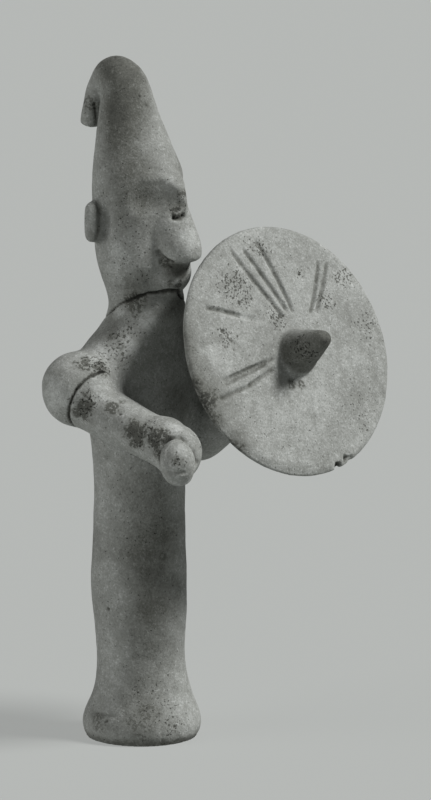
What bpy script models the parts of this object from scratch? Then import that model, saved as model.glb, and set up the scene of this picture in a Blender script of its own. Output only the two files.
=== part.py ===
"""Terracotta warrior figurine: a hand-modelled votive figure with a tall curled cap and a round shield.

The figure stands on its flared foot at the origin, faces -Y, and holds the shield on its left, at +X.
Everything was modelled in wet clay and fired as one body, so the whole figurine is one solid.
"""

import math

import bmesh
import bpy
import numpy as np
from mathutils import Matrix, Vector

MM = 0.001

# Driving sizes of the figure. Heights along the body are shares of HEIGHT.
HEIGHT = 210 * MM
FOOT_WIDTH = 37.0 * MM
TRUNK_WIDTH = 28.4 * MM
CHEST_WIDTH = 47.0 * MM
CHEST_DEPTH = 25.5 * MM
NECK_WIDTH = 23.0 * MM
HEAD_WIDTH = 29.0 * MM
CAP_TIP_WIDTH = 6.6 * MM
CAP_TIP_REACH = 20.2 * MM
NOSE_REACH = 24.3 * MM
NOSE_WIDTH = 12.8 * MM
NOSE_TURN = math.radians(4.5)
THUMB_TURN = math.radians(41)
CHIN_REACH = 18.6 * MM
EAR_DEPTH = 5.0 * MM
EAR_REACH = 4.2 * MM
EAR_FORWARD = -3.4 * MM

# Arms: rolls of clay laid across the shoulders and bent forward.
SHOULDER_SPAN = 71.0 * MM
SHOULDER_ROLL = 23.4 * MM
SHOULDER_LEVEL = 0.5258
UPPER_ARM_WIDTH = 18.8 * MM
ELBOW_WIDTH = 16.4 * MM
FOREARM_WIDTH = 16.2 * MM
WRIST_WIDTH = 13.8 * MM
FIST_WIDTH = 17.0 * MM
FIST_REACH = 36.4 * MM
FIST_SIDE = 17.8 * MM
FIST_LEVEL = 0.4560
THUMB_WIDTH = 14.6 * MM
STUB_WIDTH = 11.8 * MM
STUB_REACH = 12.5 * MM
ELBOW_SIDE = 20.1 * MM
ELBOW_REACH = 5.0 * MM
ELBOW_LEVEL = 0.4345

# Shield: a flattened disc with a spike in its middle.
SHIELD_DIAMETER = 77.9 * MM
SHIELD_THICKNESS = 4.6 * MM
SHIELD_EDGE = 2.8 * MM
SHIELD_DOME = 1.0 * MM
SHIELD_SIDE = 28.5 * MM
SHIELD_REACH = 35.9 * MM
SHIELD_LEVEL = 0.5755
SHIELD_TILT = math.radians(21.75)
SHIELD_TURN = math.radians(-2.25)
BOSS_HEIGHT = 18.2 * MM
BOSS_WIDTH = 13.8 * MM
BOSS_TIP_WIDTH = 5.0 * MM
BOSS_SIDE = 2.1 * MM
BOSS_DROP = 1.1 * MM
BOSS_RISE = math.radians(2.5)
BOSS_TURN = math.radians(5.0)
GROOVE_WIDTH = 1.4 * MM
GROOVE_DEPTH = 0.6 * MM
CHIP_WIDTH = 3.2 * MM

# Lines scored in the shield. Each end is an angle in degrees and a share of the shield's radius.
SCORED_LINES = [
    [(114, 0.91), (90, 0.27)],
    [(105, 0.87), (77, 0.29)],
    [(94, 0.90), (65, 0.30)],
    [(47, 0.87), (35, 0.42)],
    [(52, 0.84), (40, 0.38)],
    [(150.5, 0.85), (144, 0.57), (131, 0.32)],
    [(192, 0.78), (196, 0.24)],
    [(195, 0.78), (197, 0.32)],
    [(200, 0.89), (205, 0.55), (212, 0.26)],
]
RIM_CHIP_ANGLES = [-78, -69]

# How finely the joined clay is worked over, and how uneven the hand left it.
VOXEL = HEIGHT / 300
SOFTEN_PASSES = 6
KEPT_SHARE = 0.036
UNEVENNESS = 0.7 * MM
DENT_SIZE = 17 * MM

RING_POINTS = 40
SECTION_STEPS = 4
ROLL_STEPS = 6
SPHERE_SIDES = 24
SHIELD_SIDES = 72
BOSS_SIDES = 36
CLAY_COLOUR = (0.42, 0.33, 0.26, 1.0)
CLAY_ROUGHNESS = 0.9


def clear_scene():
    for obj in list(bpy.data.objects):
        bpy.data.objects.remove(obj)


def new_collection(name):
    collection = bpy.data.collections.new(name)
    bpy.context.scene.collection.children.link(collection)
    return collection


def at(x, forward, level):
    """A point of the figure: x to its left, forward from its axis, level as a share of HEIGHT."""
    return Vector((x, -forward, level * HEIGHT))


def smooth_rows(rows, steps):
    """Catmull-Rom curve through the rows, with steps points for each gap between two of them."""
    rows = np.array(rows, float)
    ends = np.vstack([2 * rows[0] - rows[1], rows, 2 * rows[-1] - rows[-2]])
    found = []
    for a, b, c, d in zip(ends, ends[1:], ends[2:], ends[3:]):
        for t in np.linspace(0, 1, steps, endpoint=False):
            bend = (2 * a - 5 * b + 4 * c - d) * t**2 + (3 * b - a - 3 * c + d) * t**3
            found.append(0.5 * (2 * b + (c - a) * t + bend))
    found.append(rows[-1])
    return np.array(found)


def helper_object(name, mesh, collection):
    obj = bpy.data.objects.new(name, mesh)
    obj.hide_render = True
    obj.display_type = "WIRE"
    collection.objects.link(obj)
    return obj


def object_from_bmesh(name, shape, collection):
    bmesh.ops.recalc_face_normals(shape, faces=shape.faces)
    mesh = bpy.data.meshes.new(name)
    shape.to_mesh(mesh)
    shape.free()
    return helper_object(name, mesh, collection)


def mesh_of(obj):
    """The object's mesh with its modifiers applied."""
    return bpy.data.meshes.new_from_object(
        obj.evaluated_get(bpy.context.evaluated_depsgraph_get())
    )


def stacked_form(name, sections, collection):
    """A loft through level sections: level, half width, half depth, forward shift, side shift."""
    shape = bmesh.new()
    rings = []
    for level, half_width, half_depth, forward, side in smooth_rows(sections, SECTION_STEPS):
        ring = []
        for turn in np.linspace(0, 2 * math.pi, RING_POINTS, endpoint=False):
            x = side + half_width * math.cos(turn)
            ring.append(shape.verts.new(at(x, forward + half_depth * math.sin(turn), level)))
        rings.append(ring)
    for low, high in zip(rings, rings[1:]):
        for i in range(RING_POINTS):
            j = (i + 1) % RING_POINTS
            shape.faces.new((low[i], low[j], high[j], high[i]))
    shape.faces.new(rings[0])
    shape.faces.new(rings[-1])
    return object_from_bmesh(name, shape, collection)


def ellipsoid(name, centre, half_sizes, collection):
    shape = bmesh.new()
    bmesh.ops.create_uvsphere(
        shape, u_segments=SPHERE_SIDES, v_segments=SPHERE_SIDES // 2, radius=1.0
    )
    place = Matrix.Translation(centre) @ Matrix.Diagonal((*half_sizes, 1.0))
    bmesh.ops.transform(shape, matrix=place, verts=shape.verts)
    return object_from_bmesh(name, shape, collection)


def clay_roll(name, rows, collection, steps=ROLL_STEPS):
    """A roll of clay along a smooth line. Each row is a point of the line and the roll's radius there."""
    path = smooth_rows([(*point, radius) for point, radius in rows], steps)
    curve = bpy.data.curves.new(name, "CURVE")
    curve.dimensions = "3D"
    curve.bevel_depth = 1.0
    curve.bevel_resolution = 4
    curve.use_fill_caps = True
    spline = curve.splines.new("POLY")
    spline.points.add(len(path) - 1)
    for control, (x, y, z, radius) in zip(spline.points, path):
        control.co = (x, y, z, 1.0)
        control.radius = radius
    line = bpy.data.objects.new(name + "_line", curve)
    collection.objects.link(line)
    shape = bmesh.new()
    shape.from_mesh(mesh_of(line))
    bmesh.ops.remove_doubles(shape, verts=shape.verts, dist=0.01 * MM)
    bpy.data.objects.remove(line)
    return object_from_bmesh(name, shape, collection)


def add_boolean(obj, cutter, operation):
    modifier = obj.modifiers.new(cutter.name, "BOOLEAN")
    modifier.operation = operation
    modifier.solver = "EXACT"
    modifier.object = cutter


def body_form(collection):
    """Foot, trunk, chest, neck, head and the straight part of the cap, as one stacked form."""
    foot = FOOT_WIDTH / 2
    trunk = TRUNK_WIDTH / 2
    chest = CHEST_WIDTH / 2
    depth = CHEST_DEPTH / 2
    neck = NECK_WIDTH / 2
    head = HEAD_WIDTH / 2
    sections = [
        (-0.018, 0.72 * foot, 0.72 * foot, 0.022 * foot, 0.019 * foot),
        (0.000, 0.90 * foot, 0.90 * foot, 0.022 * foot, 0.019 * foot),
        (0.010, 0.98 * foot, 0.98 * foot, 0.022 * foot, 0.019 * foot),
        (0.024, foot, foot, 0.022 * foot, 0.019 * foot),
        (0.042, 0.93 * foot, 0.93 * foot, 0.028 * foot, 0.022 * foot),
        (0.062, 0.83 * foot, 0.83 * foot, 0.030 * foot, 0.024 * foot),
        (0.085, 0.77 * foot, 0.77 * foot, 0.024 * foot, 0.020 * foot),
        (0.120, 0.5 * (0.74 * foot + 0.94 * trunk), 0.5 * (0.74 * foot + 0.94 * trunk), 0.0, 0.0),
        (0.187, 1.01 * trunk, 1.01 * trunk, 0.0, 0.0),
        (0.240, 1.03 * trunk, 1.03 * trunk, -0.015 * trunk, -0.015 * trunk),
        (0.310, 1.00 * trunk, 1.00 * trunk, -0.010 * trunk, -0.010 * trunk),
        (0.380, 0.99 * trunk, 1.00 * trunk, 0.0, 0.0),
        (0.440, 1.03 * trunk, 1.02 * trunk, -0.015 * trunk, -0.015 * trunk),
        (0.478, 0.5 * (trunk + chest), 0.5 * (trunk + depth), -0.02 * depth, 0.0),
        (0.520, chest, depth, -0.05 * depth, 0.0),
        (0.560, 0.97 * chest, 0.95 * depth, -0.05 * depth, 0.0),
        (0.585, 0.83 * chest, 0.91 * depth, -0.02 * depth, 0.0),
        (0.606, 0.60 * chest, 0.87 * depth, 0.03 * depth, 0.0),
        (0.630, 1.04 * neck, 1.04 * neck, 0.16 * neck, 0.14 * neck),
        (0.652, neck, neck, 0.14 * neck, 0.08 * neck),
        (0.673, 0.82 * head, 0.82 * head, 0.08 * head, 0.0),
        (0.685, 0.90 * head, 0.90 * head, 0.11 * head, 0.0),
        (0.697, 0.96 * head, 0.96 * head, 0.12 * head, 0.0),
        (0.715, 0.99 * head, 0.99 * head, 0.08 * head, 0.0),
        (0.750, 0.98 * head, 0.99 * head, 0.03 * head, 0.0),
        (0.797, head, head, 0.0, 0.0),
        (0.832, 0.955 * head, 0.955 * head, -0.06 * head, 0.0),
        (0.868, 0.81 * head, 0.81 * head, -0.17 * head, 0.0),
        (0.903, 0.68 * head, 0.68 * head, -0.28 * head, 0.0),
        (0.930, 0.59 * head, 0.59 * head, -0.36 * head, 0.0),
        (0.950, 0.47 * head, 0.47 * head, -0.43 * head, 0.0),
    ]
    return stacked_form("body_form", sections, collection)


def cap_tip_form(collection):
    """The cap's tip, curled over backwards and left hanging with a flat end."""
    head = HEAD_WIDTH / 2
    tip = CAP_TIP_WIDTH / 2
    back = CAP_TIP_REACH
    rows = [
        (at(0.0, -0.28 * head, 0.903), 0.60 * head),
        (at(0.0, -0.36 * head, 0.934), 0.57 * head),
        (at(0.0, -0.46 * head, 0.956), 0.51 * head),
        (at(0.0, -0.49 * back, 0.969), 0.42 * head),
        (at(0.0, -0.68 * back, 0.965), 0.35 * head),
        (at(-0.18 * tip, -0.84 * back, 0.947), 1.24 * tip),
        (at(-0.36 * tip, -0.94 * back, 0.922), 1.06 * tip),
        (at(-0.54 * tip, -back, 0.887), tip),
    ]
    return clay_roll("cap_tip_form", rows, collection)


def nose_form(collection):
    """The large nose, pinched out of the face from the brow down: level, share of its width and reach."""
    wing = NOSE_WIDTH / 2
    rows = [
        (0.872, 0.60, 0.31),
        (0.852, 0.80, 0.47),
        (0.830, 0.80, 0.67),
        (0.803, 0.70, 0.79),
        (0.787, 0.78, 0.79),
        (0.770, 1.02, 0.83),
        (0.750, 1.06, 0.92),
        (0.735, 1.04, 0.98),
        (0.723, 0.98, 1.00),
        (0.714, 0.90, 0.98),
        (0.708, 0.72, 0.87),
    ]
    sections = []
    for level, width, reach in rows:
        half_depth = 1.2 * width * wing
        sections.append((level, width * wing, half_depth, reach * NOSE_REACH - half_depth, 0.0))
    nose = stacked_form("nose_form", sections, collection)
    nose.data.transform(Matrix.Rotation(NOSE_TURN, 4, "Z"))
    return nose


def chin_form(collection):
    """The short chin that stands out under the nose."""
    half_depth = 0.42 * CHIN_REACH
    half_sizes = (0.40 * CHIN_REACH, half_depth, 0.036 * HEIGHT)
    centre = at(0.07 * CHIN_REACH, CHIN_REACH - half_depth, 0.690)
    return ellipsoid("chin_form", centre, half_sizes, collection)


def thumb_press(side, collection):
    """The flat that a thumb left beside the nose, under the brow. side is 1 at +X and -1 at -X."""
    head = HEAD_WIDTH / 2
    half_sizes = (1.04 * head, 0.46 * head, 0.041 * HEIGHT)
    centre = at(0.0, 0.87 * head + half_sizes[1], 0.804)
    press = ellipsoid(f"thumb_press_{side}", centre, half_sizes, collection)
    press.data.transform(Matrix.Rotation(NOSE_TURN + side * THUMB_TURN, 4, "Z"))
    return press


def ear_press(side, collection):
    """The upright hollow pressed in the head in front of an ear."""
    centre = at(side * 1.06 * HEAD_WIDTH / 2, EAR_FORWARD + 0.75 * EAR_DEPTH, 0.762)
    half_sizes = (0.65 * EAR_DEPTH, 0.42 * EAR_DEPTH, 0.036 * HEIGHT)
    return ellipsoid(f"ear_press_{side}", centre, half_sizes, collection)


def ear_form(side, collection):
    """A strip of clay pinched into an upright ear."""
    half_width = 0.8 * EAR_REACH
    half_depth = EAR_DEPTH / 2
    middle = side * (HEAD_WIDTH / 2 + EAR_REACH - half_width)
    sections = [
        (0.734, 0.60 * half_width, 0.60 * half_depth, EAR_FORWARD, middle),
        (0.741, 0.92 * half_width, 0.95 * half_depth, EAR_FORWARD, middle),
        (0.765, half_width, half_depth, EAR_FORWARD, middle),
        (0.788, 0.92 * half_width, 0.95 * half_depth, EAR_FORWARD, middle),
        (0.795, 0.60 * half_width, 0.60 * half_depth, EAR_FORWARD, middle),
    ]
    return stacked_form(f"ear_form_{side}", sections, collection)


def shoulder_place(side):
    """The middle of a shoulder's round end. side is 1 at +X and -1 at -X."""
    return at(side * (SHOULDER_SPAN - SHOULDER_ROLL) / 2, -0.05 * SHOULDER_ROLL, SHOULDER_LEVEL)


def shoulder_forms(collection):
    """The roll that arches across the shoulders, drawn up beside the neck on the left, and its two ends."""
    radius = SHOULDER_ROLL / 2
    right = shoulder_place(-1)
    left = shoulder_place(1)
    rows = [
        (right, radius),
        (at(0.5 * right.x, 0.0, 1.015 * SHOULDER_LEVEL), 0.84 * radius),
        (at(0.5 * left.x, 0.0, 1.09 * SHOULDER_LEVEL), 0.92 * radius),
        (left, radius),
    ]
    forms = [clay_roll("shoulder_form", rows, collection)]
    forms.append(ellipsoid("right_shoulder_end", right, (radius,) * 3, collection))
    forms.append(ellipsoid("left_shoulder_end", left, (radius,) * 3, collection))
    return forms


def fist_place():
    return at(-FIST_SIDE, FIST_REACH, FIST_LEVEL)


def right_arm_forms(collection):
    """The right forearm and its fist."""
    shoulder = shoulder_place(-1)
    start = at(0.97 * shoulder.x, 0.02 * FIST_REACH, 0.975 * SHOULDER_LEVEL)
    bend = at(0.94 * shoulder.x, 0.25 * FIST_REACH, 0.945 * SHOULDER_LEVEL)
    fist = fist_place()
    rows = [
        (start, FOREARM_WIDTH / 2),
        (bend, FOREARM_WIDTH / 2),
        (bend.lerp(fist, 0.5), (FOREARM_WIDTH + WRIST_WIDTH) / 4),
        (fist, WRIST_WIDTH / 2),
    ]
    half = FIST_WIDTH / 2
    back = (bend - fist).normalized()
    thumb = fist + 0.62 * half * back + Vector((0.0, 0.0, 0.22 * half))
    forms = [clay_roll("right_forearm_form", rows, collection)]
    forms.append(ellipsoid("fist_form", fist, (0.84 * half, 0.93 * half, half), collection))
    forms.append(ellipsoid("thumb_form", thumb, (THUMB_WIDTH / 2,) * 3, collection))
    return forms


def stub_forms(collection):
    """The round stub that the fingers close around, pointing forward and to the figure's right."""
    radius = STUB_WIDTH / 2
    root = fist_place() - Vector((0.0, 0.0, 0.17 * radius))
    end = root + Vector((-0.65, -0.75, -0.08)).normalized() * (STUB_REACH - 0.55 * radius)
    half_sizes = (radius, radius, 1.2 * radius)
    forms = [ellipsoid("stub_end", end, half_sizes, collection)]
    forms.append(ellipsoid("stub_root", root.lerp(end, 0.5), half_sizes, collection))
    return forms


def shield_place():
    """Where the middle of the shield's front is, and how it is turned."""
    centre = at(SHIELD_SIDE, SHIELD_REACH, SHIELD_LEVEL)
    lean = Matrix.Rotation(math.pi / 2 - SHIELD_TILT, 4, "X")
    return Matrix.Translation(centre) @ Matrix.Rotation(SHIELD_TURN, 4, "Z") @ lean


def left_arm_forms(collection):
    """The left arm, from the shoulder down to a low elbow and up to the back of the shield."""
    shield = shield_place()
    pad = shield @ Vector((0.0, 0.0, -0.45 * SHIELD_THICKNESS))
    wrist = shield @ Vector((0.0, -0.2 * WRIST_WIDTH, -SHIELD_THICKNESS - 0.5 * WRIST_WIDTH))
    shoulder = shoulder_place(1)
    elbow = at(ELBOW_SIDE, ELBOW_REACH, ELBOW_LEVEL)
    rows = [
        (shoulder, 1.1 * UPPER_ARM_WIDTH / 2),
        (shoulder.lerp(elbow, 0.5), UPPER_ARM_WIDTH / 2),
        (elbow, ELBOW_WIDTH / 2),
        (elbow.lerp(wrist, 0.5), FOREARM_WIDTH / 2),
        (wrist, WRIST_WIDTH / 2),
        (pad, 1.1 * WRIST_WIDTH / 2),
    ]
    forms = [clay_roll("left_arm_form", rows, collection)]
    forms.append(ellipsoid("elbow_form", elbow, (ELBOW_WIDTH / 2,) * 3, collection))
    return forms


def shield_front(share):
    """How far the shield's slightly domed front stands above its rim, at a share of its radius."""
    return SHIELD_DOME * (1 - share**2)


def shield_profile():
    """The shield's outline from the middle of its front, over the rim, to the middle of its back."""
    radius = SHIELD_DIAMETER / 2
    edge = SHIELD_EDGE / 2
    front = [(share * radius, shield_front(share)) for share in (0.0, 0.25, 0.5, 0.75)]
    rim = []
    for turn in np.radians([90, 60, 30, 0, -30, -60, -90]):
        rim.append((radius - edge + edge * math.cos(turn), edge * math.sin(turn) - edge))
    back = [(0.6 * radius, -0.9 * SHIELD_THICKNESS), (0.0, -SHIELD_THICKNESS)]
    return front + rim + back


def boss_profile():
    """The spike's outline from its blunt tip down to its foot, which is sunk in the shield."""
    tip = BOSS_TIP_WIDTH / 2
    base = BOSS_WIDTH / 2
    return [
        (0.0, BOSS_HEIGHT),
        (0.6 * tip, BOSS_HEIGHT - 0.15 * tip),
        (tip, BOSS_HEIGHT - 0.7 * tip),
        (0.58 * tip + 0.42 * base, 0.58 * BOSS_HEIGHT),
        (0.22 * tip + 0.78 * base, 0.26 * BOSS_HEIGHT),
        (base, 0.07 * BOSS_HEIGHT + SHIELD_DOME),
        (1.06 * base, -0.5 * SHIELD_THICKNESS),
        (0.0, -0.5 * SHIELD_THICKNESS),
    ]


def turned_form(name, profile, sides, place, collection):
    """A profile of radius and height turned about its axis."""
    mesh = bpy.data.meshes.new(name)
    points = [(radius, 0.0, height) for radius, height in profile]
    mesh.from_pydata(points, [(i, i + 1) for i in range(len(points) - 1)], [])
    form = helper_object(name, mesh, collection)
    form.matrix_world = place
    screw = form.modifiers.new("turn", "SCREW")
    screw.steps = sides
    screw.render_steps = sides
    screw.use_merge_vertices = True
    screw.merge_threshold = 0.01 * MM
    return form


def boss_place():
    """Where the spike's foot is on the shield's front. The spike leans up and towards the figure's right."""
    foot = Matrix.Translation((BOSS_SIDE, -BOSS_DROP, 0.0))
    lean = Matrix.Rotation(-BOSS_RISE, 4, "X") @ Matrix.Rotation(-BOSS_TURN, 4, "Y")
    return shield_place() @ foot @ lean


def shield_form(collection):
    """The disc with its spike, its scored lines and the chips in its rim."""
    shield = turned_form("shield_form", shield_profile(), SHIELD_SIDES, shield_place(), collection)
    boss = turned_form("boss_form", boss_profile(), BOSS_SIDES, boss_place(), collection)
    add_boolean(shield, boss, "UNION")
    for i, ends in enumerate(SCORED_LINES):
        add_boolean(shield, scored_line_cutter(f"scored_line_{i}", ends, collection), "DIFFERENCE")
    for i, angle in enumerate(RIM_CHIP_ANGLES):
        add_boolean(shield, rim_chip_cutter(f"rim_chip_{i}", angle, collection), "DIFFERENCE")
    return shield


def on_shield(angle, share, lift):
    """A point above the shield's front, from an angle in degrees and a share of the radius."""
    turn = math.radians(angle)
    radius = share * SHIELD_DIAMETER / 2
    flat = Vector((radius * math.cos(turn), radius * math.sin(turn), shield_front(share) + lift))
    return shield_place() @ flat


def scored_line_cutter(name, ends, collection):
    """A round rod sunk in the shield's front along a scored line. It rises out of the clay at its ends."""
    rod = ((GROOVE_WIDTH / 2) ** 2 + GROOVE_DEPTH**2) / (2 * GROOVE_DEPTH)
    ends = [(math.radians(angle), share) for angle, share in ends]
    line = smooth_rows([(share * math.cos(turn), share * math.sin(turn)) for turn, share in ends], 4)
    rows = []
    for i, (x, y) in enumerate(line):
        at_end = i in (0, len(line) - 1)
        sink = 0.1 * GROOVE_DEPTH if at_end else GROOVE_DEPTH
        angle = math.degrees(math.atan2(y, x))
        rows.append((on_shield(angle, math.hypot(x, y), rod - sink), rod))
    return clay_roll(name, rows, collection, steps=1)


def rim_chip_cutter(name, angle, collection):
    return ellipsoid(name, on_shield(angle, 0.99, 0.0), (CHIP_WIDTH / 2,) * 3, collection)


def ground_cutter(collection):
    """A block under the floor, which trims the foot flat."""
    block = bmesh.new()
    bmesh.ops.create_cube(block, size=HEIGHT)
    bmesh.ops.translate(block, verts=block.verts, vec=(0.0, 0.0, -HEIGHT / 2))
    return object_from_bmesh("ground_cutter", block, collection)


def clay_material():
    material = bpy.data.materials.new("terracotta")
    material.use_nodes = True
    shader = material.node_tree.nodes["Principled BSDF"]
    shader.inputs["Base Color"].default_value = CLAY_COLOUR
    shader.inputs["Roughness"].default_value = CLAY_ROUGHNESS
    shader.inputs["Metallic"].default_value = 0.0
    return material


def joined_clay(forms):
    """One mesh of all the forms, still overlapping."""
    joined = bmesh.new()
    for form in forms:
        joined.from_mesh(mesh_of(form))
    mesh = bpy.data.meshes.new("warrior_figurine")
    joined.to_mesh(mesh)
    joined.free()
    return mesh


def work_over(figurine):
    """Modifiers that merge the rolls and lumps into one softly uneven skin."""
    merge = figurine.modifiers.new("merge", "REMESH")
    merge.mode = "VOXEL"
    merge.voxel_size = VOXEL
    merge.use_smooth_shade = True
    soften = figurine.modifiers.new("soften", "SMOOTH")
    soften.factor = 0.5
    soften.iterations = SOFTEN_PASSES
    pattern = bpy.data.textures.new("hand_dents", "CLOUDS")
    pattern.noise_scale = DENT_SIZE
    pattern.noise_depth = 1
    dents = figurine.modifiers.new("dents", "DISPLACE")
    dents.texture = pattern
    dents.texture_coords = "GLOBAL"
    dents.strength = UNEVENNESS
    dents.mid_level = 0.5
    thin = figurine.modifiers.new("thin", "DECIMATE")
    thin.ratio = KEPT_SHARE
    thin.use_collapse_triangulate = True


def main():
    clear_scene()
    parts = new_collection("terracotta_warrior_figurine")
    helpers = new_collection("cutters_and_forms")

    body = body_form(helpers)
    nose = nose_form(helpers)
    for side in (-1, 1):
        press = thumb_press(side, helpers)
        add_boolean(body, press, "DIFFERENCE")
        add_boolean(nose, press, "DIFFERENCE")
        add_boolean(body, ear_press(side, helpers), "DIFFERENCE")
    forms = [body, nose, cap_tip_form(helpers), chin_form(helpers)]
    forms += [ear_form(side, helpers) for side in (-1, 1)]
    forms += shoulder_forms(helpers)
    forms += right_arm_forms(helpers)
    forms += stub_forms(helpers)
    forms += left_arm_forms(helpers)

    mesh = joined_clay(forms)
    mesh.materials.append(clay_material())
    figurine = bpy.data.objects.new("warrior_figurine", mesh)
    parts.objects.link(figurine)
    work_over(figurine)
    add_boolean(figurine, shield_form(helpers), "UNION")
    add_boolean(figurine, ground_cutter(helpers), "DIFFERENCE")


main()
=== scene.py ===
"""Looks of the terracotta warrior figurine: its worked and weathered clay, the floor, lights and camera.

The clay skin is the plain solid made finer, softened, carved and stained, with shade and light painted into
its colour in places. Marks that the photo shows are listed by their place in it, and each is put where the
camera's ray through that place meets the solid.
"""

import math

import bpy
import numpy as np
from mathutils import Matrix, Vector, noise
from mathutils.bvhtree import BVHTree


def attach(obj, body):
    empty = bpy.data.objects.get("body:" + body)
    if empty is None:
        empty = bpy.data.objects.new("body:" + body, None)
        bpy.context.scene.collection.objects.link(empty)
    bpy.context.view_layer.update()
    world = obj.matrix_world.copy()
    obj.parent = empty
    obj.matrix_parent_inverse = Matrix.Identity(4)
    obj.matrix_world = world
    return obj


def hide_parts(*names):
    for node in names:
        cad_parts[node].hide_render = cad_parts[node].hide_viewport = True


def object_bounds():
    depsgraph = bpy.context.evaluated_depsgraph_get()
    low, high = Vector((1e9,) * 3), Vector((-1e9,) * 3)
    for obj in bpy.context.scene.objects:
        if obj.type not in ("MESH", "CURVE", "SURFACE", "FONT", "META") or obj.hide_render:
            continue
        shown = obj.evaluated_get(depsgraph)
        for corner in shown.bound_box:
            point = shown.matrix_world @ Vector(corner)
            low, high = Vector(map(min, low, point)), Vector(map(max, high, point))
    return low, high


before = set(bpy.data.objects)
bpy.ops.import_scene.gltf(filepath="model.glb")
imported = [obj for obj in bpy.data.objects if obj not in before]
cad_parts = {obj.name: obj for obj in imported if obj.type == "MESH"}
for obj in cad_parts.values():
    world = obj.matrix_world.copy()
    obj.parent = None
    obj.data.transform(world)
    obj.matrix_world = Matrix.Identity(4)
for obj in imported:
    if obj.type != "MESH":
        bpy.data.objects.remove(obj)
cad_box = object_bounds()

MM = 0.001
NODE = "warrior_figurine"

# The photo's view. PIXEL is what one of its pixels measures at the figure.
PHOTO_WIDTH = 431
PHOTO_HEIGHT = 800
PIXEL = 0.3037 * MM
VIEW_AZIMUTH = math.radians(-43)
VIEW_ELEVATION = math.radians(11)
VIEW_DISTANCE = 2.4
FOOT_PIXEL = (139.5, 736.5)
AIM_HEIGHT = 105 * MM
SENSOR = 36.0

# The shield, as the solid has it.
SHIELD_CENTRE = Vector((28.5, -35.9, 120.86)) * MM
SHIELD_TILT = math.radians(21.75)
SHIELD_TURN = math.radians(-2.25)
SHIELD_RADIUS = 38.95 * MM
SHIELD_THICKNESS = 4.6 * MM
SPIKE_REACH = 12 * MM

# The clay skin, made of cells of this size, softened, and thinned to no more than so many triangles.
VOXEL = 0.5 * MM
SOFTEN_PASSES = 60
SOFTENING = 0.6
SHIELD_KEPT = 0.93
MOST_TRIANGLES = 190000
FLAT_FOOT = 0.4 * MM

# The face, ears, cap's tip and fist: middle and reach in mm, and the share of softening left to each.
FINE_FORMS = [
    ((0, -18, 158), 22, 0.12),
    ((-17, 3, 160), 9, 0.12),
    ((17, 3, 160), 9, 0.12),
    ((0, 19, 190), 13, 0.20),
    ((-20, -40, 95), 16, 0.12),
]

# Dents left by hands, and the clay's finer unevenness.
DENT_SIZE = 7 * MM
DENT_HEIGHT = 0.10 * MM
BUMP_SIZE = 2 * MM
BUMP_HEIGHT = 0.05 * MM

# Places on the photo are in its pixels, and widths and depths are in mm.
# Lines scored in the shield, from the rim inwards, with painted shade along their bottoms.
SCORED_WIDTH = 2.1 * MM
SCORED_DEPTH = 0.50 * MM
SCORED_DARKNESS = 0.65
SCORED_LINES = [
    [(228, 247), (254, 281), (284, 318)],
    [(241.5, 246.5), (264, 278), (289, 314)],
    [(254, 237), (271, 268), (295, 316)],
    [(327.5, 261), (322, 288), (316, 314)],
    [(319, 260), (315, 288), (310, 316)],
    [(204, 307.5), (220, 311), (241, 316)],
    [(276.5, 357.5), (248, 369), (221.5, 382)],
    [(268, 363), (246, 374), (223.5, 386)],
    [(276.5, 366.5), (249, 386), (218, 400.5)],
]

# Mended breaks at the neck and elbow: what shows of each, its reach from the middle in mm, and a seed.
CRACK_WIDTH = 0.5 * MM
CRACK_DEPTH = 0.9 * MM
CRACK_WEAR = 0.15 * MM
MENDED_BREAKS = [
    ([(106, 317), (115, 308), (123, 301), (138, 296.5), (153, 294), (168, 293), (182, 293)], 24, 5),
    ([(92.5, 376), (83, 381), (76, 389), (72, 396), (70, 405), (68.5, 414), (69.5, 424)], 13, 9),
]

# Creases and ridges pressed by hand: place, width, depth (below 0 stands out) and how dark its bottom is,
# which is painted shade.
CREASES = [
    ([(171, 217), (176, 218.5), (181, 218), (186, 214)], 2.2, 1.1, 1.0),
    ([(157, 249), (161, 255), (167, 260), (175, 263)], 2.4, 0.6, 0.8),
    ([(98, 199), (99.5, 215), (99, 232), (96, 242)], 2.6, 0.4, 0.6),
    ([(97, 126), (96, 112), (94, 101)], 1.6, 0.5, 0.8),
    ([(160, 470), (159, 455), (163, 444), (172, 437.5), (182, 437), (190, 443)], 1.9, 0.7, 0.6),
    ([(190, 443), (196, 452), (198, 463), (195, 474)], 1.7, 0.5, 0.5),
    ([(169, 472.5), (178, 474.5), (187, 473.5)], 1.6, 0.25, 0.25),
    ([(169, 477), (178, 478.5), (187, 476)], 1.6, -0.25, 0.0),
    ([(140, 178), (160, 178), (175, 183), (184, 191)], 4.5, -0.4, 0.0),
    ([(188, 266), (181, 276), (172, 287)], 1.6, -0.5, 0.0),
    ([(105, 281), (125, 284), (146, 283)], 4.0, -0.25, 0.0),
    ([(90, 712), (103, 714), (117, 716)], 2.2, 0.35, 0.3),
    ([(117.5, 728), (118, 733), (117, 739)], 0.9, 0.5, 0.6),
    ([(162.5, 730), (163, 736), (162, 742)], 0.9, 0.5, 0.7),
    ([(147, 435), (139, 443), (131, 452)], 1.0, -0.15, 0.0),
]

# Hollows pressed in the clay: place, half width, depth and how dark it is, which is painted shade in the
# hollow.
HOLLOWS = [
    ((181, 205), 2.2, 0.5, 0.4),
    ((184, 214), 1.3, 0.6, 0.6),
]

# Single pits: place and half width. Their bottoms get painted shade.
PITS = [
    ((106, 721), 0.7),
    ((175, 727), 0.8),
    ((171, 730), 0.5),
    ((108, 609), 0.7),
    ((120, 414), 0.5),
    ((140, 96), 0.5),
    ((147, 105), 0.5),
    ((223, 331), 0.9),
    ((232, 341), 0.5),
    ((234, 350), 0.5),
    ((225, 347), 0.5),
    ((299, 274), 0.6),
    ((281, 316), 0.9),
    ((336, 465), 1.5),
    ((347, 459), 1.6),
]

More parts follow.
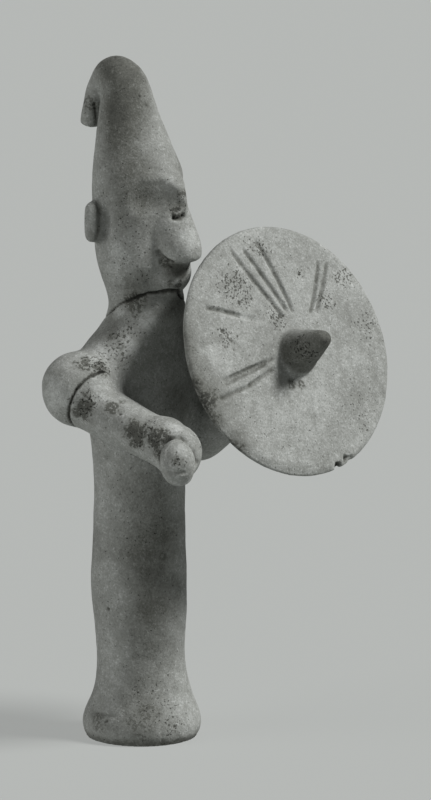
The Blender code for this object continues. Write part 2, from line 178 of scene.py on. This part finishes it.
# The marks that a point of the clay can have, each from 0 to 1. Along with real darkening and wear they carry
# painted shade and painted light.
MARKS = ("cloud_and_shade", "dirt_and_shade", "stain_and_shade", "wear_and_light", "pitted")

# Broad darker clouds: place, half width in pixels and strength. Those on the cap darken the clay there; most
# others are painted shade: the shield's shadow down the chest, trunk and foot, shade between chest, arm and
# shield, and shade under the nose and jaw and in the eye hollow.
CLOUDS_AND_SHADE = [
    ((112, 62), 24, 1.0),
    ((130, 76), 28, 0.9),
    ((124, 112), 30, 0.9),
    ((112, 140), 20, 0.3),
    ((124, 160), 26, 0.6),
    ((130, 205), 26, 0.4),
    ((135, 288), 16, 0.5),
    ((112, 328), 18, 0.4),
    ((146, 492), 28, 0.45),
    ((158, 530), 28, 0.45),
    ((144, 560), 30, 0.60),
    ((160, 595), 26, 0.45),
    ((146, 625), 26, 0.45),
    ((150, 655), 24, 0.4),
    ((138, 690), 22, 0.3),
    ((142, 718), 20, 0.4),
    ((214, 402), 24, 0.5),
    ((240, 440), 18, 0.4),
    ((176, 268), 11, 1.0),
    ((184, 274), 7, 0.5),
    ((182, 310), 18, 0.6),
    ((184, 340), 24, 0.5),
    ((192, 378), 20, 0.6),
    ((178, 402), 20, 0.5),
]

# Painted shade in the eye hollows, in the same form, also laid on the head's other side.
EYE_HOLLOW_SHADE = [
    ((146, 188), 24, 0.4),
    ((170, 202), 12, 0.35),
]

# Marks on the sides that the photo doesn't show: place and half width in mm, and strength.
HIDDEN_CLOUDS = [
    ((4, 13, 172), 11, 0.5),
    ((9, 12, 98), 13, 0.4),
    ((-5, 13, 58), 12, 0.45),
    ((10, 12, 20), 9, 0.4),
    ((14, -2, 62), 10, 0.35),
    ((33, 6, 104), 9, 0.4),
]
HIDDEN_PATCHES = [
    ("stain_and_shade", (-7, 12, 80), 5, 0.6),
    ("stain_and_shade", (9, 12, 34), 4, 0.5),
    ("stain_and_shade", (31, -6, 92), 5, 0.6),
    ("stain_and_shade", (8, 13, 150), 4, 0.5),
    ("wear_and_light", (-2, 14, 116), 7, 0.6),
    ("wear_and_light", (38, 2, 112), 6, 0.6),
    ("wear_and_light", (0, 15, 6), 7, 0.5),
    ("pitted", (3, 14, 86), 8, 0.8),
    ("pitted", (-4, 13, 142), 7, 0.8),
    ("pitted", (34, 4, 98), 7, 0.8),
    ("pitted", (6, 13, 48), 6, 0.7),
]

# Darker patches with broken edges, placed on the photo as the clouds are. Most are stains; some are painted
# shade, in the eye corner, under the nose and chin, at the spike's tip and below it, and between chest, arm
# and shield.
STAINS_AND_SHADE = [
    ((90, 105), 12, 0.5),
    ((183, 192), 7, 0.6),
    ((176, 212), 8, 0.6),
    ((85, 410), 14, 0.9),
    ((88, 394), 7, 0.6),
    ((112, 407), 10, 0.7),
    ((123, 401), 6, 0.6),
    ((136, 434), 18, 1.0),
    ((158, 435), 14, 0.9),
    ((158, 455), 8, 0.6),
    ((84, 363), 12, 0.7),
    ((102, 366), 11, 0.8),
    ((110, 338), 8, 0.4),
    ((121, 346), 6, 0.5),
    ((134, 303), 16, 0.6),
    ((173, 661), 5, 0.35),
    ((175, 689), 8, 0.35),
    ((163, 557), 7, 0.4),
    ((112, 521), 13, 0.3),
    ((121, 637), 11, 0.25),
    ((98, 724), 16, 0.45),
    ((145, 720), 22, 0.4),
    ((207, 400), 16, 0.6),
    ((193, 350), 6, 0.4),
    ((178, 461), 7, 0.5),
    ((329, 339), 8, 0.4),
    ((178, 286), 6, 0.7),
    ((170, 284), 6, 0.5),
    ((292, 384), 7, 0.7),
    ((302, 385), 6, 0.7),
    ((165, 262), 8, 0.6),
    ((196, 384), 10, 0.5),
    ((213, 420), 11, 0.5),
    ((236, 447), 11, 0.5),
]

# Paler patches, in the same form: worn places, and painted light on the upper arm, chest, fist, nose and the
# chin's ridge.
WEAR_AND_LIGHT = [
    ((55, 395), 18, 0.8),
    ((214, 352), 16, 0.6),
    ((120, 262), 20, 0.35),
    ((150, 322), 11, 0.7),
    ((130, 347), 11, 0.5),
    ((176, 428), 9, 0.9),
    ((118, 314), 8, 0.7),
    ((98, 383), 9, 0.5),
    ((104, 396), 6, 0.4),
    ((170, 429), 8, 0.6),
    ((180, 447), 10, 0.6),
    ((64, 362), 9, 0.4),
    ((190, 236), 12, 0.5),
    ((100, 350), 9, 0.4),
    ((176, 281), 5, 0.5),
    ((178, 483), 7, 0.4),
]

# Clusters of small dark pits, in the same form.
PITTED = [
    ((303, 352), 16, 0.8),
    ((236, 290), 23, 1.0),
    ((262, 249), 12, 1.0),
    ((343, 276), 13, 1.0),
    ((328, 301), 12, 1.0),
    ((368, 325), 18, 0.6),
    ((278, 318), 13, 1.0),
    ((226, 338), 12, 0.9),
    ((358, 405), 30, 0.35),
    ((300, 274), 8, 0.8),
    ((180, 205), 12, 0.7),
    ((150, 433), 24, 0.6),
    ((118, 345), 26, 0.9),
    ((98, 364), 18, 0.9),
    ((175, 727), 14, 0.6),
    ((135, 268), 26, 0.35),
    ((178, 461), 9, 0.9),
    ((130, 215), 30, 0.3),
    ((152, 700), 26, 0.4),
    ((250, 245), 9, 0.8),
    ((86, 404), 18, 0.8),
]

# The shield is a little paler than the rest, and its rim is worn back. Its spike gets painted shade, most of
# it below, with less on its lit top.
SHIELD_PALENESS = 0.2
RIM_WEAR = 0.6 * MM
SPIKE_SHADE = 0.85
SPIKE_TOP_LIGHT = 0.65

# Painted contact shade round the foot's lower edge.
FOOT_EDGE_SHADE = 0.5
FOOT_EDGE_SHADE_HEIGHT = 3.5 * MM

# The first seeds for the unevenness of these marks.
CREASE_SEED = 20
EYE_HOLLOW_SHADE_SEED = 30
HIDDEN_CLOUD_SEED = 40
HIDDEN_PATCH_SEED = 50

# The clay's material: its middle tone, roughness and shine, and the sizes of its patterns.
CLAY_TONE = 0.65
CLAY_ROUGHNESS = 0.88
CLAY_SHINE = 0.25
GRAIN_SIZE = 0.6 * MM
SPECK_SIZE = 0.7 * MM
FLECK_SIZE = 0.9 * MM
MOTTLE_SIZE = 3.2 * MM
CAST_SIZE = 16 * MM

# How much each pattern and mark lightens the tone, or darkens it if below 0.
GRAIN_TONE = 0.20
MOTTLE_TONE = 0.22
CAST_TONE = 0.16
WEAR_AND_LIGHT_TONE = 0.18
FLECK_TONE = 0.12
CLOUD_AND_SHADE_TONE = -0.40
STAIN_AND_SHADE_TONE = -0.46
PIT_TONE = -0.38
DIRT_AND_SHADE_TONE = -0.55

# How far the finest unevenness stands out.
GRAIN_RELIEF = 0.06 * MM
MOTTLE_RELIEF = 0.16 * MM
PIT_RELIEF = -0.15 * MM

# The clay's colours by tone from 0 to 1, from its darkest stains and painted shade to its palest wear and
# painted light.
CLAY_TONES = [
    (0.0, (0.0210, 0.0215, 0.0180, 1)),
    (0.35, (0.1000, 0.1020, 0.0905, 1)),
    (0.65, (0.2245, 0.2310, 0.2165, 1)),
    (1.0, (0.4520, 0.4650, 0.4500, 1)),
]

# The floor and the room. The glow of the horizon fades to that of the sky between two heights.
FLOOR_RADIUS = 12.0
FLOOR_SIDES = 64
FLOOR_TINT = (0.97, 1.0, 0.975, 1)
FLOOR_COLOUR = (0.118, 0.122, 0.118, 1)
FLOOR_GLOW = 0.332
HORIZON_GLOW = 0.465
HORIZON_TOP = math.radians(5)
SKY_GLOW = 0.03
SKY_START = math.radians(13)

# Lamps: name, azimuth, elevation and how wide it looks in degrees, and power.
LAMPS = [
    ("key_lamp", 36, 48, 14, 4.4),
    ("fill_lamp", -112, 16, 50, 1.5),
]


def view_axes():
    """The camera's right, up and back directions."""
    sine, cosine = math.sin(VIEW_AZIMUTH), math.cos(VIEW_AZIMUTH)
    level = math.cos(VIEW_ELEVATION)
    back = Vector((sine * level, -cosine * level, math.sin(VIEW_ELEVATION)))
    right = Vector((cosine, sine, 0.0))
    return right, back.cross(right), back


def view_aim():
    """The point in the middle of the photo, level with the figure's axis."""
    right, up, back = view_axes()
    aside = right * (PHOTO_WIDTH / 2 - FOOT_PIXEL[0]) * PIXEL
    above = up * (FOOT_PIXEL[1] - PHOTO_HEIGHT / 2) * PIXEL
    return aside + above + back * AIM_HEIGHT * back.z


def add_camera():
    right, up, back = view_axes()
    data = bpy.data.cameras.new("photo_camera")
    data.sensor_fit = "VERTICAL"
    data.sensor_height = SENSOR
    data.lens = VIEW_DISTANCE / (PIXEL * PHOTO_HEIGHT) * SENSOR
    data.clip_end = 100.0
    camera = bpy.data.objects.new("photo_camera", data)
    turn = Matrix((right, up, back)).transposed().to_4x4()
    camera.matrix_world = Matrix.Translation(view_aim() + back * VIEW_DISTANCE) @ turn
    bpy.context.scene.collection.objects.link(camera)
    bpy.context.scene.camera = camera


def solid_tree():
    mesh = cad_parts[NODE].data
    points = [vertex.co.copy() for vertex in mesh.vertices]
    return BVHTree.FromPolygons(points, [tuple(face.vertices) for face in mesh.polygons])


TREE = solid_tree()


def on_clay(pixel):
    """Where the camera's ray through a pixel of the photo meets the figure, or None beside it."""
    right, up, back = view_axes()
    aside = right * (pixel[0] - PHOTO_WIDTH / 2) * PIXEL
    above = up * (PHOTO_HEIGHT / 2 - pixel[1]) * PIXEL
    eye = view_aim() + back * VIEW_DISTANCE
    way = view_aim() + aside + above - eye
    return TREE.ray_cast(eye, way.normalized())[0]


def line_on_clay(pixels, step=3.0):
    """Points on the clay along a line of the photo, one for every few pixels of it."""
    found = []
    for start, end in zip(pixels, pixels[1:]):
        count = max(1, round(math.dist(start, end) / step))
        for share in np.linspace(0, 1, count, endpoint=False):
            found.append(on_clay(tuple(np.array(start) * (1 - share) + np.array(end) * share)))
    found.append(on_clay(pixels[-1]))
    return np.array([point for point in found if point is not None])


def lumps(points, size, seed):
    """Smooth noise from about -1 to 1 at each point, with lumps of that size."""
    shift = Vector((seed, 2.3 * seed, 4.1 * seed))
    return np.array([noise.noise(Vector(point) / size + shift) for point in points])


def ramp(value, low, high):
    """0 at low, 1 at high, and a smooth step between them."""
    share = np.clip((value - low) / (high - low), 0, 1)
    return share * share * (3 - 2 * share)


def distance_to_line(points, line):
    """How far each point is from a line of points, and how far along the line, from 0 to 1."""
    nearest = np.full(len(points), np.inf)
    along = np.zeros(len(points))
    for i, (start, end) in enumerate(zip(line, line[1:])):
        run = end - start
        share = np.clip((points - start) @ run / (run @ run), 0, 1)
        away = np.linalg.norm(points - start - share[:, None] * run, axis=1)
        closer = away < nearest
        nearest[closer] = away[closer]
        along[closer] = (i + share[closer]) / (len(line) - 1)
    return nearest, along


def mesh_values(items, name, width):
    """One attribute of a mesh's vertices, normals or edges as an array with a row for each."""
    values = np.zeros(len(items) * width, int if name == "vertices" else float)
    items.foreach_get(name, values)
    return values.reshape(-1, width)


def softened(points, edges, strength, passes):
    """Each pass moves every point towards the middle of its neighbours, by its own strength."""
    count = np.bincount(edges.ravel(), minlength=len(points))
    for _ in range(passes):
        middle = np.zeros_like(points)
        for near, far in ((0, 1), (1, 0)):
            for axis in range(3):
                middle[:, axis] += np.bincount(edges[:, near], points[edges[:, far], axis], len(points))
        points = points + strength[:, None] * (middle / count[:, None] - points)
    return points


def apply_modifiers(obj):
    graph = bpy.context.evaluated_depsgraph_get()
    mesh = bpy.data.meshes.new_from_object(obj.evaluated_get(graph))
    obj.modifiers.clear()
    obj.data = mesh


def on_shield(points):
    """Each point seen from the shield: across, up and outwards from the middle of its front."""
    lean = Matrix.Rotation(SHIELD_TURN, 3, "Z") @ Matrix.Rotation(math.pi / 2 - SHIELD_TILT, 3, "X")
    return (points - np.array(SHIELD_CENTRE)) @ np.array(lean)


def shield_share(points):
    """1 on the shield and its spike, falling to 0 a little behind it."""
    across, above, out = on_shield(points).T
    inside = 1 - ramp(np.hypot(across, above), SHIELD_RADIUS + 1 * MM, SHIELD_RADIUS + 3 * MM)
    return inside * ramp(out, -SHIELD_THICKNESS - 3 * MM, -SHIELD_THICKNESS)


class Clay:
    """The skin's points, with how high each is raised or pressed in and how it is marked."""

    def __init__(self, points):
        self.points = points
        self.height = np.zeros(len(points))
        self.marks = {name: np.zeros(len(points)) for name in MARKS}

    def near(self, place, reach):
        """Indices of the points within reach of a place, and how far from it they are."""
        away = np.linalg.norm(self.points - np.array(place), axis=1)
        found = np.nonzero(away < reach)[0]
        return found, away[found]

    def mark(self, name, found, strength):
        self.marks[name][found] = np.maximum(self.marks[name][found], strength)

    def crease(self, line, width, depth, darkness, seed):
        """A groove along a line, or a ridge if depth is below 0, fading at its ends."""
        away, along = distance_to_line(self.points, line)
        found = np.nonzero(away < width)[0]
        half = width / 2 * (1 + 0.25 * lumps(self.points[found], 1.5 * MM, seed))
        fade = ramp(along[found], -0.01, 0.09) * (1 - ramp(along[found], 0.91, 1.01))
        share = np.clip(1 - (away[found] / half) ** 2, 0, 1) ** 1.5 * fade
        self.height[found] -= depth * share
        uneven = 0.8 + 0.6 * lumps(self.points[found], 2.5 * MM, seed + 0.5)
        # The groove's bottom is darkened: painted shade.
        self.mark("dirt_and_shade", found, darkness * share * share * uneven)

    def hollow(self, place, half, depth, darkness):
        """A round hollow that fades out into the clay about it."""
        found, away = self.near(place, 2 * half)
        share = np.exp(-((away / half) ** 2) * 1.5)
        self.height[found] -= depth * share
        # The hollow is darkened: painted shade.
        self.mark("dirt_and_shade", found, darkness * share)

    def pit(self, place, half, seed):
        """A small pit with an uneven edge, nearly as deep as its half width."""
        found, away = self.near(place, 2 * half)
        uneven = 1 + 0.4 * lumps(self.points[found], 1.2 * MM, seed)
        share = np.clip(1 - (away / (half * uneven)) ** 2, 0, 1)
        self.height[found] -= 0.8 * half * share
        # The pit is darkened: painted shade.
        self.mark("dirt_and_shade", found, 0.8 * share)

    def patch(self, name, place, half, strength, seed):
        """A patch with an uneven soft edge."""
        found, away = self.near(place, 1.8 * half)
        uneven = lumps(self.points[found], 0.7 * half, seed) + 0.6 * lumps(self.points[found], 1.8 * MM, seed)
        share = 1 - ramp(away / half + 0.45 * uneven, 0.45, 1.2)
        self.mark(name, found, strength * share)

    def cloud_and_shade(self, place, half, strength, seed):
        """A broad patch that fades out evenly, laid over the others."""
        found, away = self.near(place, 2.2 * half)
        uneven = 0.25 * lumps(self.points[found], 0.8 * half, seed)
        share = 1 - ramp(away / half + uneven, 0.1, 1.6)
        self.marks["cloud_and_shade"][found] += strength * share * (1 - self.marks["cloud_and_shade"][found])

    def mended_break(self, line, reach, seed):
        """A ragged crack where the plane through its visible line cuts the clay, out to its reach."""
        middle = line.mean(axis=0)
        across = np.linalg.svd(line - middle)[2][2]
        across *= np.sign(across[2])
        found, away = self.near(middle, reach)
        points = self.points[found]
        ragged = 0.5 * MM * lumps(points, 5 * MM, seed) + 0.2 * MM * lumps(points, 1.5 * MM, seed)
        level = (points - middle) @ across + ragged
        fade = (1 - ramp(away, 0.85 * reach, reach)) * (1 - shield_share(points))
        width = CRACK_WIDTH * (1 + 0.4 * lumps(points, 4 * MM, seed + 1))
        gap = np.clip(1 - np.abs(level) / width, 0, 1) * fade
        worn_edge = np.clip(1 - np.abs(level) / (3 * width), 0, 1) * fade
        self.height[found] -= CRACK_DEPTH * gap + CRACK_WEAR * worn_edge
        self.mark("dirt_and_shade", found, np.clip(1.6 * gap, 0, 1))


def spike_share(points):
    """1 on the spike in the middle of the shield, 0 off it."""
    across, above, out = on_shield(points).T
    inside = 1 - ramp(np.hypot(across, above), SPIKE_REACH, SPIKE_REACH + 2 * MM)
    return ramp(out, 0.5 * MM, 3 * MM) * inside


def worn_rim(points):
    """How far the front of the shield's rim is worn back, on the rim's lower side near the arm."""
    across, above, out = on_shield(points).T
    turn = np.degrees(np.arctan2(above, across))
    lower = ramp(turn, -175, -150) * (1 - ramp(turn, -100, -75))
    rim = ramp(np.hypot(across, above), 0.91 * SHIELD_RADIUS, SHIELD_RADIUS)
    return lower * rim * ramp(out, -1.5 * MM, 0.0)


def carve(clay):
    """Dents, scored lines, breaks, creases, hollows and pits, with painted shade darkening the grooves,
    hollows and pits.
    """
    points = clay.points
    clay.height += DENT_HEIGHT * lumps(points, DENT_SIZE, 1) + BUMP_HEIGHT * lumps(points, BUMP_SIZE, 2)
    clay.height -= RIM_WEAR * worn_rim(points)
    for seed, pixels in enumerate(SCORED_LINES):
        clay.crease(line_on_clay(pixels), SCORED_WIDTH, SCORED_DEPTH, SCORED_DARKNESS, seed)
    for pixels, reach, seed in MENDED_BREAKS:
        clay.mended_break(line_on_clay(pixels), reach * MM, seed)
    for seed, (pixels, width, depth, darkness) in enumerate(CREASES):
        clay.crease(line_on_clay(pixels), width * MM, depth * MM, darkness, CREASE_SEED + seed)
    for pixel, half, depth, darkness in HOLLOWS:
        clay.hollow(on_clay(pixel), half * MM, depth * MM, darkness)
    for seed, (pixel, half) in enumerate(PITS):
        clay.pit(on_clay(pixel), half * MM, seed)


def stain_and_shade(clay):
    """Clouds, stains, worn places and clusters of pits, which the material reads. Much of the clouds and some
    of the stains and worn places are painted shade and painted light.
    """
    points = clay.points
    for seed, (pixel, half, strength) in enumerate(CLOUDS_AND_SHADE):
        clay.cloud_and_shade(on_clay(pixel), half * PIXEL, strength, seed)
    for seed, (pixel, half, strength) in enumerate(EYE_HOLLOW_SHADE, EYE_HOLLOW_SHADE_SEED):
        place = on_clay(pixel)
        clay.cloud_and_shade(place, half * PIXEL, strength, seed)
        clay.cloud_and_shade((-place.x, place.y, place.z), half * PIXEL, strength, seed)
    for seed, (place, half, strength) in enumerate(HIDDEN_CLOUDS, HIDDEN_CLOUD_SEED):
        clay.cloud_and_shade(Vector(place) * MM, half * MM, strength, seed)
    for seed, (name, place, half, strength) in enumerate(HIDDEN_PATCHES, HIDDEN_PATCH_SEED):
        clay.patch(name, Vector(place) * MM, half * MM, strength, seed)
    everywhere = slice(None)
    # Painted shade on the spike, most of it on its lower side.
    shaded = 1 - SPIKE_TOP_LIGHT * ramp(on_shield(points)[:, 1], 1.5 * MM, 5 * MM)
    clay.mark("cloud_and_shade", everywhere, SPIKE_SHADE * shaded * spike_share(points))
    clay.mark("wear_and_light", everywhere, SHIELD_PALENESS * shield_share(points))
    # Painted contact shade round the foot's lower edge.
    clay.mark("dirt_and_shade", everywhere, FOOT_EDGE_SHADE * (1 - ramp(points[:, 2], 0.6 * MM, FOOT_EDGE_SHADE_HEIGHT)))
    for name, patches in (("stain_and_shade", STAINS_AND_SHADE), ("wear_and_light", WEAR_AND_LIGHT), ("pitted", PITTED)):
        for seed, (pixel, half, strength) in enumerate(patches):
            clay.patch(name, on_clay(pixel), half * PIXEL, strength, seed)


def make_skin():
    """The solid's form in fine, softened and carved clay."""
    obj = bpy.data.objects.new("fired_clay_figure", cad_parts[NODE].data.copy())
    bpy.context.scene.collection.objects.link(obj)
    remesh = obj.modifiers.new("remesh", "REMESH")
    remesh.mode = "VOXEL"
    remesh.voxel_size = VOXEL
    remesh.use_smooth_shade = True
    apply_modifiers(obj)

    mesh = obj.data
    points = mesh_values(mesh.vertices, "co", 3)
    strength = SOFTENING * (1 - SHIELD_KEPT * shield_share(points))
    for middle, reach, left in FINE_FORMS:
        away = np.linalg.norm(points - np.array(middle) * MM, axis=1)
        strength *= left + (1 - left) * ramp(away, 0.6 * reach * MM, reach * MM)
    strength *= ramp(points[:, 2], FLAT_FOOT, 3 * MM)
    points = softened(points, mesh_values(mesh.edges, "vertices", 2), strength, SOFTEN_PASSES)
    mesh.vertices.foreach_set("co", points.ravel())
    mesh.update()

    clay = Clay(points)
    carve(clay)
    stain_and_shade(clay)
    clay.height *= ramp(points[:, 2], FLAT_FOOT, 2 * MM)
    points = points + clay.height[:, None] * mesh_values(mesh.vertex_normals, "vector", 3)
    points[points[:, 2] < FLAT_FOOT, 2] = 0.0
    points = np.clip(points, np.array(cad_box[0]), np.array(cad_box[1]))
    mesh.vertices.foreach_set("co", points.ravel())
    mesh.update()
    for name, strength in clay.marks.items():
        paint = mesh.attributes.new(name, "FLOAT", "POINT")
        paint.data.foreach_set("value", strength.astype(np.float32))

    thin = obj.modifiers.new("thin", "DECIMATE")
    thin.ratio = min(1.0, MOST_TRIANGLES / (2 * len(mesh.polygons)))
    thin.use_collapse_triangulate = True
    apply_modifiers(obj)
    return obj


class ClayNodes:
    """Short ways to add nodes to the clay's material. Sizes are in metres."""

    def __init__(self, tree):
        self.tree = tree
        self.place = tree.nodes.new("ShaderNodeTexCoord").outputs["Object"]

    def pattern(self, size, detail, roughness):
        """Noise from 0 to 1 with lumps of that size."""
        node = self.tree.nodes.new("ShaderNodeTexNoise")
        node.inputs["Scale"].default_value = 1 / size
        node.inputs["Detail"].default_value = detail
        node.inputs["Roughness"].default_value = roughness
        self.tree.links.new(self.place, node.inputs["Vector"])
        return node.outputs["Fac"]

    def mark(self, name):
        node = self.tree.nodes.new("ShaderNodeAttribute")
        node.attribute_name = name
        return node.outputs["Fac"]

    def combine(self, operation, first, second):
        node = self.tree.nodes.new("ShaderNodeMath")
        node.operation = operation
        for socket, value in zip(node.inputs, (first, second)):
            if isinstance(value, (int, float)):
                socket.default_value = value
            else:
                self.tree.links.new(value, socket)
        return node.outputs[0]

    def add(self, *values):
        total = values[0]
        for value in values[1:]:
            total = self.combine("ADD", total, value)
        return total

    def times(self, first, second):
        return self.combine("MULTIPLY", first, second)

    def swing(self, pattern, amount):
        """The pattern about its middle, from about -amount to amount."""
        return self.times(self.combine("SUBTRACT", pattern, 0.5), 2 * amount)

    def step(self, value, low, high):
        """0 below low, 1 above high."""
        node = self.tree.nodes.new("ShaderNodeMapRange")
        node.interpolation_type = "SMOOTHSTEP"
        self.tree.links.new(value, node.inputs["Value"])
        for name, limit in (("From Min", low), ("From Max", high)):
            if isinstance(limit, (int, float)):
                node.inputs[name].default_value = limit
            else:
                self.tree.links.new(limit, node.inputs[name])
        return node.outputs["Result"]


def clay_material():
    material = bpy.data.materials.new("weathered_and_shaded_terracotta")
    material.use_nodes = True
    tree = material.node_tree
    shader = tree.nodes["Principled BSDF"]
    nodes = ClayNodes(tree)

    grain = nodes.pattern(GRAIN_SIZE, 2.0, 0.6)
    specks = nodes.pattern(SPECK_SIZE, 1.0, 0.5)
    flecks = nodes.pattern(FLECK_SIZE, 2.0, 0.6)
    mottle = nodes.pattern(MOTTLE_SIZE, 4.0, 0.7)
    cast = nodes.pattern(CAST_SIZE, 3.0, 0.5)

    # Specks become pits where the noise is high, and more of them do where the clay is marked as pitted.
    rarity = nodes.combine("SUBTRACT", 0.71, nodes.times(nodes.mark("pitted"), 0.17))
    pits = nodes.step(specks, rarity, nodes.add(rarity, 0.05))

    # The grain and flecks break up the edges of the stains and painted shade.
    stain_and_shade_share = nodes.mark("stain_and_shade")
    ragged = nodes.add(stain_and_shade_share, nodes.swing(mottle, 0.8), nodes.swing(flecks, 1.5), nodes.swing(grain, 0.8))
    broken_stain_and_shade = nodes.times(nodes.step(ragged, 0.1, 0.9), nodes.step(stain_and_shade_share, 0.0, 0.7))

    tone = nodes.add(
        CLAY_TONE,
        nodes.swing(grain, GRAIN_TONE),
        nodes.swing(mottle, MOTTLE_TONE),
        nodes.swing(cast, CAST_TONE),
        nodes.times(nodes.mark("wear_and_light"), WEAR_AND_LIGHT_TONE),
        nodes.times(nodes.step(flecks, 0.58, 0.68), FLECK_TONE),
        nodes.times(nodes.mark("cloud_and_shade"), CLOUD_AND_SHADE_TONE),
        nodes.times(broken_stain_and_shade, STAIN_AND_SHADE_TONE),
        nodes.times(pits, PIT_TONE),
        nodes.times(nodes.mark("dirt_and_shade"), DIRT_AND_SHADE_TONE),
    )
    colours = tree.nodes.new("ShaderNodeValToRGB")
    ramp_points = colours.color_ramp.elements
    while len(ramp_points) < len(CLAY_TONES):
        ramp_points.new(0.5)
    for element, (place, colour) in zip(ramp_points, CLAY_TONES):
        element.position = place
        element.color = colour
    tree.links.new(tone, colours.inputs["Fac"])
    tree.links.new(colours.outputs["Color"], shader.inputs["Base Color"])

    tree.links.new(nodes.add(CLAY_ROUGHNESS, nodes.swing(mottle, 0.10)), shader.inputs["Roughness"])
    shader.inputs["Specular IOR Level"].default_value = CLAY_SHINE

    relief = nodes.add(
        nodes.swing(grain, GRAIN_RELIEF),
        nodes.swing(mottle, MOTTLE_RELIEF),
        nodes.times(pits, PIT_RELIEF),
    )
    bump = tree.nodes.new("ShaderNodeBump")
    bump.inputs["Strength"].default_value = 1.0
    bump.inputs["Distance"].default_value = 1.0
    tree.links.new(relief, bump.inputs["Height"])
    tree.links.new(bump.outputs["Normal"], shader.inputs["Normal"])
    return material


def add_floor():
    """A wide pale floor, lit a little from below as on a light table, so that shadows on it are faint."""
    mesh = bpy.data.meshes.new("studio_floor")
    ring = [
        (FLOOR_RADIUS * math.cos(turn), FLOOR_RADIUS * math.sin(turn), 0.0)
        for turn in np.linspace(0, 2 * math.pi, FLOOR_SIDES, endpoint=False)
    ]
    mesh.from_pydata(ring, [], [tuple(range(FLOOR_SIDES))])
    material = bpy.data.materials.new("pale_floor")
    material.use_nodes = True
    shader = material.node_tree.nodes["Principled BSDF"]
    shader.inputs["Base Color"].default_value = FLOOR_COLOUR
    shader.inputs["Roughness"].default_value = 1.0
    shader.inputs["Specular IOR Level"].default_value = 0.0
    shader.inputs["Emission Color"].default_value = FLOOR_TINT
    shader.inputs["Emission Strength"].default_value = FLOOR_GLOW
    mesh.materials.append(material)
    floor = bpy.data.objects.new("studio_floor", mesh)
    bpy.context.scene.collection.objects.link(floor)


def add_lamp(name, azimuth, elevation, spread, power):
    """A distant soft lamp, placed by azimuth and elevation in degrees. spread is how wide it looks."""
    azimuth, elevation = math.radians(azimuth), math.radians(elevation)
    level = math.cos(elevation)
    away = Vector((math.sin(azimuth) * level, -math.cos(azimuth) * level, math.sin(elevation)))
    data = bpy.data.lights.new(name, "SUN")
    data.angle = math.radians(spread)
    data.energy = power
    lamp = bpy.data.objects.new(name, data)
    lamp.matrix_world = Matrix.Translation(away) @ away.to_track_quat("Z", "Y").to_matrix().to_4x4()
    bpy.context.scene.collection.objects.link(lamp)


def add_world():
    """A dark room above a horizon that glows as the floor does."""
    world = bpy.data.worlds.new("studio")
    world.use_nodes = True
    tree = world.node_tree
    direction = tree.nodes.new("ShaderNodeTexCoord")
    split = tree.nodes.new("ShaderNodeSeparateXYZ")
    tree.links.new(direction.outputs["Generated"], split.inputs[0])
    band = tree.nodes.new("ShaderNodeMapRange")
    band.inputs["From Min"].default_value = math.sin(HORIZON_TOP)
    band.inputs["From Max"].default_value = math.sin(SKY_START)
    band.inputs["To Min"].default_value = HORIZON_GLOW
    band.inputs["To Max"].default_value = SKY_GLOW
    tree.links.new(split.outputs["Z"], band.inputs["Value"])
    background = tree.nodes["Background"]
    background.inputs["Color"].default_value = FLOOR_TINT
    tree.links.new(band.outputs["Result"], background.inputs["Strength"])
    bpy.context.scene.world = world


def add_studio():
    add_floor()
    add_world()
    for lamp in LAMPS:
        add_lamp(*lamp)
    bpy.context.scene.view_settings.view_transform = "Standard"


add_camera()
skin = make_skin()
skin.data.materials.clear()
skin.data.materials.append(clay_material())
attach(skin, "root")
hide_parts(NODE)
add_studio()
